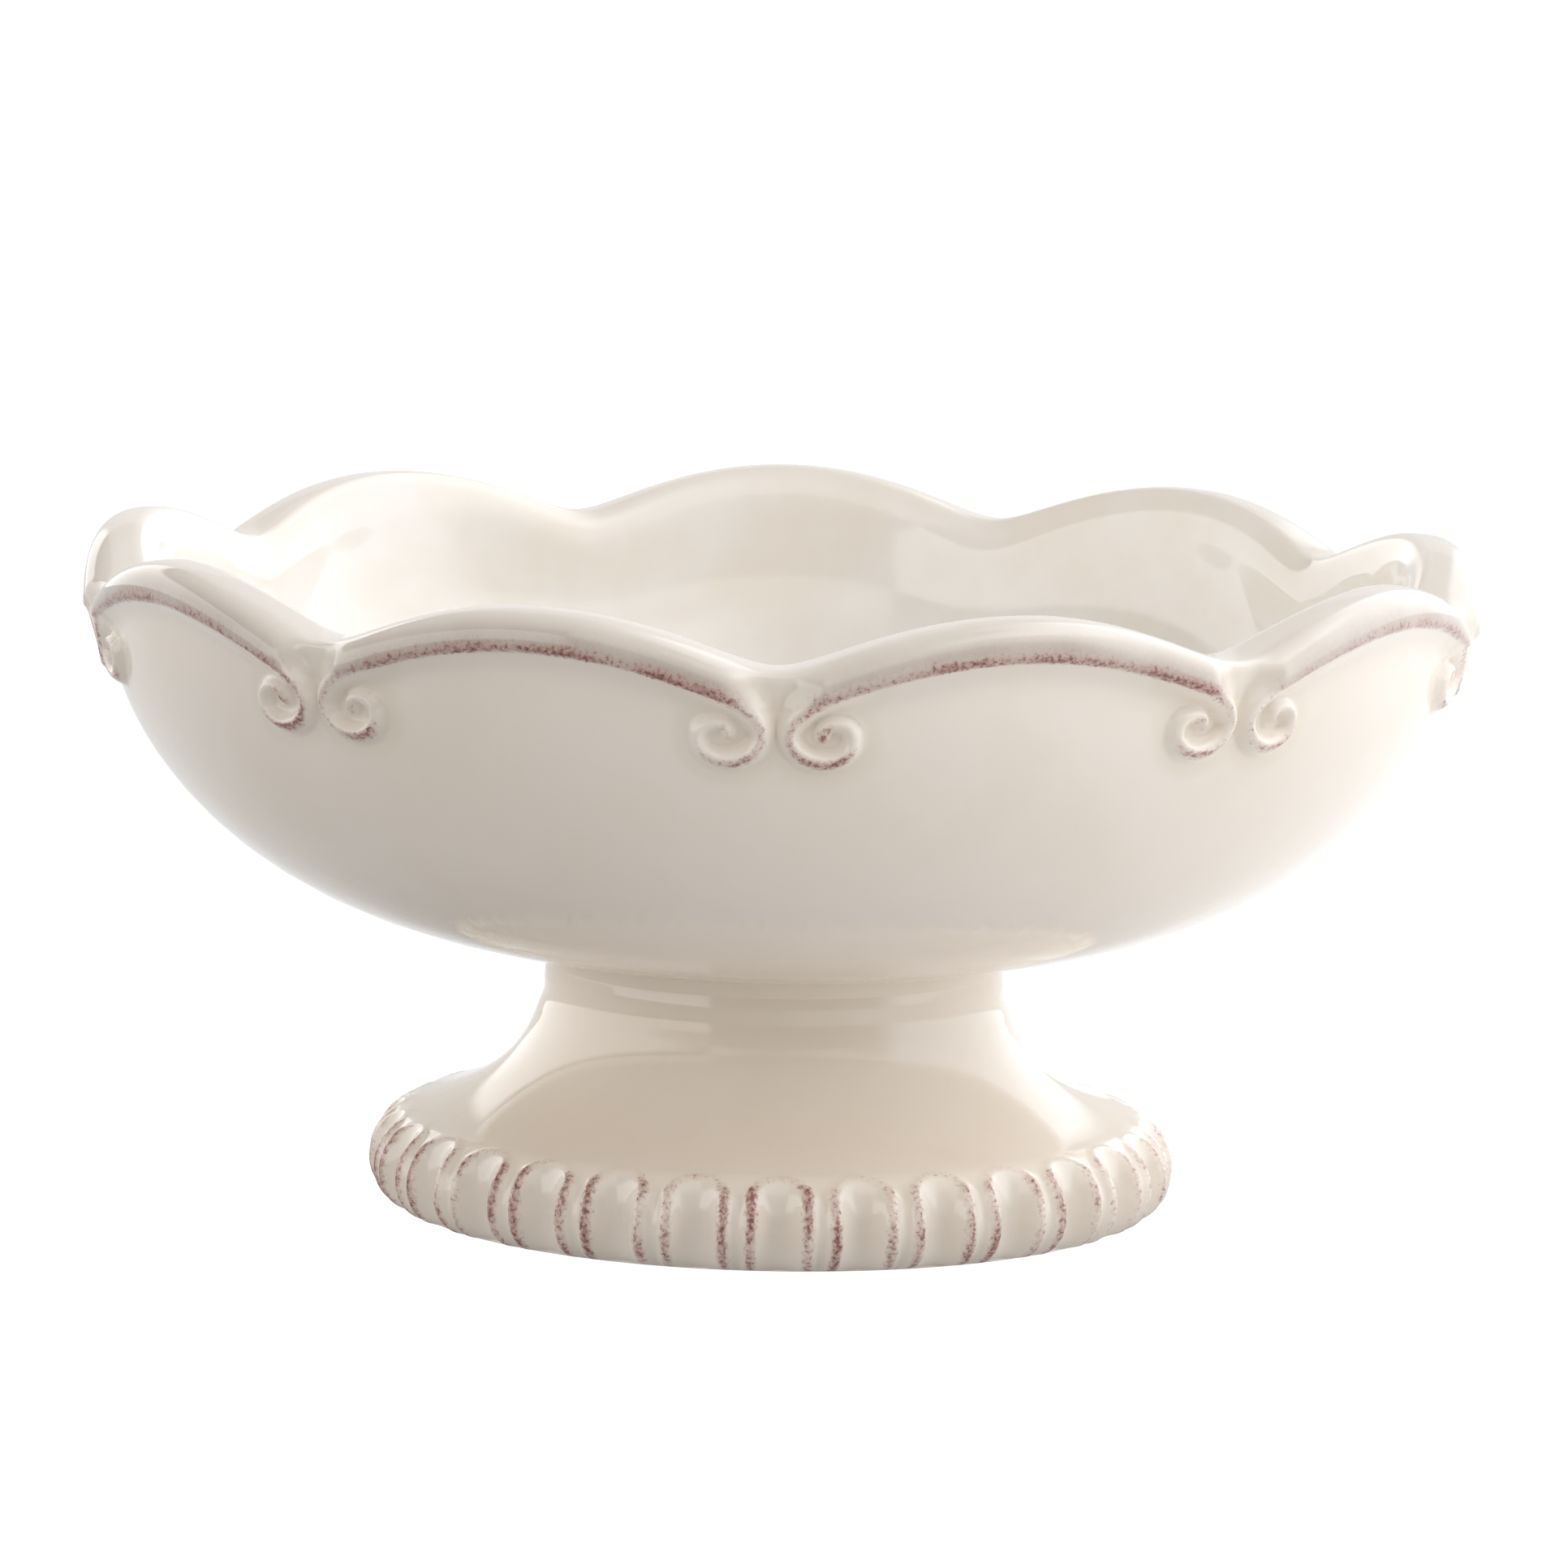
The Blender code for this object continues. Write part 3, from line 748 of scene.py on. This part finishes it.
footOutline = {  # ends and handles of four curves: radius and height in millimetres
    "roll": ((40.3, 0.0), (45.3, 1.2), (45.0, 9.0), (38.6, 10.3)),
    "sweep": ((38.6, 10.3), (29.8, 13.0), (25.4, 17.5), (24.9, footBox[1].z / mm)),
    "hollowNeck": ((19.0, footBox[1].z / mm), (19.0, 15.0), (23.5, 11.8), (30.0, 9.0)),
    "hollowBase": ((30.0, 9.0), (36.0, 7.0), (37.5, 4.0), (35.0, 0.0)),
}
footRows = {"roll": 44, "sweep": 34, "hollowNeck": 14, "hollowBase": 10}
restingRadii = (36.8, 38.6, 40.3)  # millimetres too
neckRings = ((25.0 * mm, 0.09 * mm), (23.25 * mm, -0.24 * mm))  # height and swell: ring, groove
neckReach = 1.15 * mm


def curvePoints(name):
    knots = [place(radius, height) * mm for radius, height in footOutline[name]]
    return interpolate_bezier(*knots, footRows[name] + 1)


def footSection():
    # from the base edge up the outside, then down the hollow and back along the resting ring
    outside = curvePoints("roll") + curvePoints("sweep")[1:]
    for point in outside:
        point.x += sum(
            swell * math.exp(-(((point.z - height) / neckReach) ** 2))
            for height, swell in neckRings
        )
    hollow = curvePoints("hollowNeck") + curvePoints("hollowBase")[1:]
    return outside + hollow + [place(radius * mm, 0) for radius in restingRadii]


def footTree(rows, outsideRows):
    tree, entry, leave, size = sweepTree("flutedFoot", foot)
    sector = Sector(tree, entry, size("columns"), rows, foot["flutes"])
    swing = sector.way * math.pi / size("flutes")
    climb = sector.guide(storedField(tree, "measured"))
    radius, height = sector.guidePlace(positionField(tree))
    outR, outZ = sector.guidePlace(storedField(tree, "outward", "FLOAT_VECTOR"))
    outside = sector.row.calc("LESS_THAN", outsideRows)
    across = swing.calc("ABSOLUTE") * radius
    overSpring = (climb - size("spring")).positive()
    overCrown = climb - (size("spring") + size("nicheHalfWidth"))

    edge = across.length(overSpring) - size("nicheHalfWidth")  # below 0 inside the niche
    inset = (-edge / size("nicheHalfWidth")).positive()
    hollow = 1.0 - (1.0 - inset).squared()
    floorDepth = size("nicheDepth") * climb.ramp(*niche["floorFoot"])
    floorDepth = floorDepth * climb.ramp(*niche["floorTop"])
    channel = edge.ramp(*niche["channelEdge"]) * overCrown.ramp(*niche["channelTop"])
    onFrame = edge - size("frameOffset")
    reach = overCrown.ramp(*niche["frameTop"])
    ridge = onFrame.bump(size("frameHalfWidth")) * overSpring.ramp(*niche["frameArch"]) * reach
    lift = ridge * size("frameHeight") - hollow * floorDepth - channel * size("channelDepth")
    lift = lift * climb.ramp(*niche["baseEdge"]) * outside
    upper = climb.ramp(*niche["straightCut"])
    outR = 1.0 + upper * (outR - 1.0)
    outZ = outZ * upper

    stained = onFrame.bump(niche["stainReach"]) * overSpring.ramp(*niche["stainArch"])
    pool = channel * niche["channelPool"] + overCrown.ramp(*niche["slopePool"])
    resting = height.calc("LESS_THAN", niche["restingHeight"])
    sector.keep("rubbed", stained * reach * outside)
    sector.keep("recess", pool * outside)
    sector.keep("bare", resting * sector.row.calc("GREATER_THAN", outsideRows))
    liftedHeight = (height + outZ * lift).positive()
    sector.finish(leave, swing + size("turn"), radius + outR * lift, liftedHeight)
    return tree


def makeFoot():
    section = footSection()
    tree = footTree(len(section), footRows["roll"] + footRows["sweep"])
    return sweptPiece("flutedFoot", guideMesh("footGuides", [section], rise), tree, foot, footGlaze)


footPiece = makeFoot()


# Seam: the slip between bowl and foot, wiped to a soft fillet and glazed over

seam = {
    "sectors": 60,
    "columns": 4,
}
fillet = {
    "lap": 1.2,  # down over the neck, in millimetres, as are the pairs
    "overNeck": ((-0.35, -0.4), (0.02, 0.0), (0.1, 0.9)),  # outwards from the neck, up from the lap
    "underBowl": ((0.38, -0.7), (0.9, -0.2), (1.6, 0.25)),  # and up from the bowl's underside
    "buried": (1.2, 0.4),
    "steps": 5,
    "backWidth": 5.5 * mm,
    "backRise": 0.2 * mm,
}


def seamSection():
    neck = footOutline["sweep"][-1][0] * mm
    low = footBox[1].z - fillet["lap"] * mm
    underside = shellHeight(shell["outer"], neck + fillet["underBowl"][-1][0] * mm)
    outer = throughPoints([
        place(neck + out * mm, level + up * mm)
        for level, pairs in ((low, fillet["overNeck"]), (underside, fillet["underBowl"]))
        for out, up in pairs
    ], fillet["steps"])
    out, up = fillet["buried"]
    top = place(neck + out * mm, underside + up * mm)
    inside = place(slipBox[1].x - fillet["backWidth"], underside + fillet["backRise"])
    return [*outer, top, inside, place(inside.x, low), outer[0].copy()]


def seamTree(rows):
    tree, entry, leave, size = sweepTree("slipSeam", seam)
    sector = Sector(tree, entry, size("columns"), rows, seam["sectors"])
    swing = sector.way * math.pi / size("sectors")
    sector.keep("recess", 1.0)
    sector.finish(leave, swing, *sector.guidePlace(positionField(tree)))
    return tree


def makeSeam():
    section = seamSection()
    guides = guideMesh("seamGuides", [section], rise)
    return sweptPiece("slipSeam", guides, seamTree(len(section)), seam, seamGlaze)


seamPiece = makeSeam()

for piece, node, slotName in (
    (bowlPiece, "bowl", "ivory_glaze_bowl"),
    (seamPiece, "luting_slip_ring", "luting_slip"),
    (footPiece, "pedestal_foot", "ivory_glaze_foot"),
):
    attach(piece, "root")
    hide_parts(node)
print("pieces placed")


# Studio: a white table and white screens, open low down towards the camera, and a broad soft light
# high over the right front. Angles are degrees, bearings from the camera's side and + to the right.

studio = {
    "leftBack": (-163.0, 2.0),  # where two screens meet, and half the width of the soft edge
    "leftFront": (-32.0, 2.0),
    "rightFront": (60.0, 10.0),
    "rightBack": (167.0, 3.0),
    "horizon": (-2.0, 1.0),
    "lowTop": (27.0, 2.0),
    "midTop": (50.0, 7.0),
    "overheadTop": (75.0, 5.0),
    "left": (2.0, 0.12),  # brightness of the low and of the middle part of each screen
    "front": (0.27, 1.29),
    "right": (2.2, 2.0),
    "behind": (0.85, 0.6),
    "overheadRight": 6.0,
    "overheadFront": 1.2,
    "warm": (1.0, 0.965, 0.93),  # tint of the front screen
    "cool": (0.955, 1.0, 1.055),  # tint of what comes from the right and from above
}
tabletop = {
    "half": 8.0,
    "paint": (0.2, 0.2, 0.2, 1.0),
    "roughness": 0.9,
    "glow": ((0.07, 0.79), (0.62, 1.0)),  # near left and right, far left and right
    "acrossBlend": (-0.15, 0.15),
    "awayBlend": (-0.12, 0.12),
    # painted shadow: the table's glow is dimmed under and round the dish
    "paintedDishShadow": (40.0 * mm, 85.0 * mm, 0.6, 1.0),
}


def surroundings():
    world = bpy.data.worlds.new("studio")
    world.use_nodes = True
    bpy.context.scene.world = world
    tree = world.node_tree
    x, y, z = separated(tree, addNode(tree, "ShaderNodeTexCoord").outputs["Generated"])
    bearing = x.calc("ARCTAN2", -y) * math.degrees(1)
    upward = z.calc("ARCSINE") * math.degrees(1)

    def past(angle, edge):
        middle, soft = studio[edge]
        return angle.ramp(middle - soft, middle + soft)

    def between(angle, start, end):
        return past(angle, start) * (1.0 - past(angle, end))

    low = between(upward, "horizon", "lowTop")
    mid = between(upward, "lowTop", "midTop")

    def screen(name, sector):
        lowLight, midLight = studio[name]
        return sector * (low * lowLight + mid * midLight)

    left = screen("left", between(bearing, "leftBack", "leftFront"))
    front = screen("front", between(bearing, "leftFront", "rightFront"))
    behind = screen("behind", 1.0 - between(bearing, "leftBack", "rightBack"))
    right = screen("right", between(bearing, "rightFront", "rightBack"))
    above = x.positive() * studio["overheadRight"] + (-y).positive() * studio["overheadFront"]
    neutral = left + behind
    cool = right + above * between(upward, "midTop", "overheadTop")
    glow = addNode(tree, "ShaderNodeCombineColor")
    for socket, warmShare, coolShare in zip(glow.inputs, studio["warm"], studio["cool"]):
        feed(tree, socket, neutral + front * warmShare + cool * coolShare)
    feed(tree, tree.nodes["Background"].inputs["Color"], glow.outputs[0])


def table():
    half = tabletop["half"]
    corners = [(-half, -half, 0), (half, -half, 0), (half, half, 0), (-half, half, 0)]
    mesh = bpy.data.meshes.new("table")
    mesh.from_pydata(corners, [], [(0, 1, 2, 3)])
    made = bpy.data.objects.new("table", mesh)
    bpy.context.scene.collection.objects.link(made)
    paint = bpy.data.materials.new("whiteTable")
    paint.use_nodes = True
    tree = paint.node_tree
    shader = tree.nodes["Principled BSDF"]
    shader.inputs["Base Color"].default_value = tabletop["paint"]
    shader.inputs["Roughness"].default_value = tabletop["roughness"]
    shader.inputs["Specular IOR Level"].default_value = 0.0
    shader.inputs["Emission Color"].default_value = (1, 1, 1, 1)
    x, y, _ = separated(tree, addNode(tree, "ShaderNodeTexCoord").outputs["Object"])
    right = x.ramp(*tabletop["acrossBlend"])
    near, far = [right * (atRight - atLeft) + atLeft for atLeft, atRight in tabletop["glow"]]
    glow = near + y.ramp(*tabletop["awayBlend"]) * (far - near)
    # painted shadow of the dish in the table's glow
    glow = glow * x.length(y).ramp(*tabletop["paintedDishShadow"])
    # the camera sees it plain white
    seen = Wire(tree, addNode(tree, "ShaderNodeLightPath").outputs["Is Camera Ray"])
    feed(tree, shader.inputs["Emission Strength"], glow.calc("MAXIMUM", seen))
    mesh.materials.append(paint)


surroundings()
table()
bpy.context.scene.view_settings.view_transform = "Standard"
print("studio lit")


# Camera: a long lens a little above the rim, rolled slightly

view = {
    "place": (4.87 * mm, -950.0 * mm, 183.38 * mm),
    "aim": (0.62 * mm, 0.0, 46.05 * mm),
    "roll": math.radians(1.2),
    "lens": 201.99,
    "sensor": 36.0,
    "nearest": 0.01,
}
camera = bpy.data.cameras.new("photoCamera")
camera.lens = view["lens"]
camera.sensor_width = view["sensor"]
camera.clip_start = view["nearest"]
cameraHolder = bpy.data.objects.new("photoCamera", camera)
bpy.context.scene.collection.objects.link(cameraHolder)
cameraHolder.location = view["place"]
facing = (Vector(view["aim"]) - Vector(view["place"])).to_track_quat("-Z", "Y").to_matrix()
cameraHolder.rotation_euler = (facing @ Matrix.Rotation(view["roll"], 3, "Z")).to_euler()
bpy.context.scene.camera = cameraHolder
